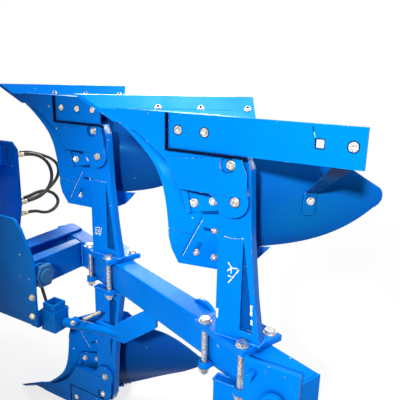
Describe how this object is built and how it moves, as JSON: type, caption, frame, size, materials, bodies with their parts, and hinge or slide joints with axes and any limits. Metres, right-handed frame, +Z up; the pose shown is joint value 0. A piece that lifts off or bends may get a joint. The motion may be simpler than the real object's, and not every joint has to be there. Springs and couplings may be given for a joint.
{
  "type": "mounted reversible moldboard plough",
  "caption": "Mounted rollover plough with mirrored bodies above and below a slanted box beam, a turnover headstock, parking stand and depth wheel.",
  "frame": {"origin": "bottom centre of the bounding box, on the floor the plough is parked on", "axes": "+X forward in the direction of travel, +Y left, +Z up"},
  "size_m": [2.343, 1.102, 1.818],
  "materials": {
    "blue_paint": "gloss",
    "zinc_steel": "bright zinc plate",
    "brass_fitting": "yellow passivated",
    "hose_rubber": "matte",
    "tyre_rubber": "matte"
  },
  "bodies": {
    "headstock": {"headstock_side_plates": "blue_paint", "headstock_cross_plates": "blue_paint", "bearing_tube": "blue_paint", "cylinder_anchor_pin": "zinc_steel", "cross_shaft": "zinc_steel", "top_link_ears": "blue_paint", "stop_screws": "zinc_steel", "stand_bracket": "blue_paint", "hose_fittings": "brass_fitting", "hose_return": "hose_rubber", "hose_feed": "hose_rubber", "hose_supply": "hose_rubber"},
    "cylinder_barrel": {"cylinder_barrel": "blue_paint"},
    "cylinder_rod": {"cylinder_rod": "zinc_steel"},
    "parking_stand": {"stand_leg": "blue_paint"},
    "wheel_arm": {"wheel_arm": "blue_paint"},
    "depth_wheel": {"wheel_rim": "blue_paint", "wheel_tyre": "tyre_rubber"},
    "turning_frame": {"adjuster_bracket": "blue_paint", "corner_gusset": "blue_paint", "cross_arms": "blue_paint", "frog_lower_front": "blue_paint", "frog_lower_rear": "blue_paint", "frog_upper_front": "blue_paint", "frog_upper_rear": "blue_paint", "landside_lower_front": "blue_paint", "landside_lower_rear": "blue_paint", "landside_upper_front": "blue_paint", "landside_upper_rear": "blue_paint", "leg_lower_front": "blue_paint", "leg_lower_rear": "blue_paint", "leg_upper_front": "blue_paint", "leg_upper_rear": "blue_paint", "main_beam": "blue_paint", "moldboard_lower_front": "blue_paint", "moldboard_lower_rear": "blue_paint", "moldboard_upper_front": "blue_paint", "moldboard_upper_rear": "blue_paint", "share_lower_front": "blue_paint", "share_lower_rear": "blue_paint", "share_upper_front": "blue_paint", "share_upper_rear": "blue_paint", "shin_lower_front": "blue_paint", "shin_lower_rear": "blue_paint", "shin_upper_front": "blue_paint", "shin_upper_rear": "blue_paint", "station_bolts": "zinc_steel", "swing_plate": "blue_paint", "tail_braces": "blue_paint", "trashboard_brackets": "blue_paint", "trashboards": "blue_paint", "turnover_shaft": "blue_paint", "wheel_bracket": "blue_paint", "width_adjuster": "blue_paint"}
  },
  "joints": [
    {"name": "turnover", "type": "hinge", "parent": "headstock", "child": "turning_frame", "pos_m": [0.7465, 0.03, 0.909], "axis": [-1, 0, 0], "range_deg": [0, 180]},
    {"name": "cylinder_swing", "type": "hinge", "parent": "headstock", "child": "cylinder_barrel", "pos_m": [0.8915, 0.03, 1.429], "axis": [1, 0, 0], "range_deg": [0, 32.2]},
    {"name": "cylinder_stroke", "type": "slide", "parent": "cylinder_barrel", "child": "cylinder_rod", "axis": [0, -0.2772, -0.9608], "range_m": [-0.171, 0]},
    {"name": "stand_swing", "type": "hinge", "parent": "headstock", "child": "parking_stand", "pos_m": [0.9815, 0.297, 0.789], "axis": [1, 0, 0], "range_deg": [0, 180]},
    {"name": "wheel_arm_swing", "type": "hinge", "parent": "turning_frame", "child": "wheel_arm", "pos_m": [-0.9985, 0.335, 0.909], "axis": [0, 1, 0], "range_deg": [0, 215.8]},
    {"name": "wheel_spin", "type": "hinge", "parent": "wheel_arm", "child": "depth_wheel", "pos_m": [-0.7985, 0.45, 0.29], "axis": [0, 1, 0], "continuous": true}
  ],
  "couplings": [
    {"joint": "cylinder_swing", "follows": "turnover", "ratio": 0.1788}
  ]
}
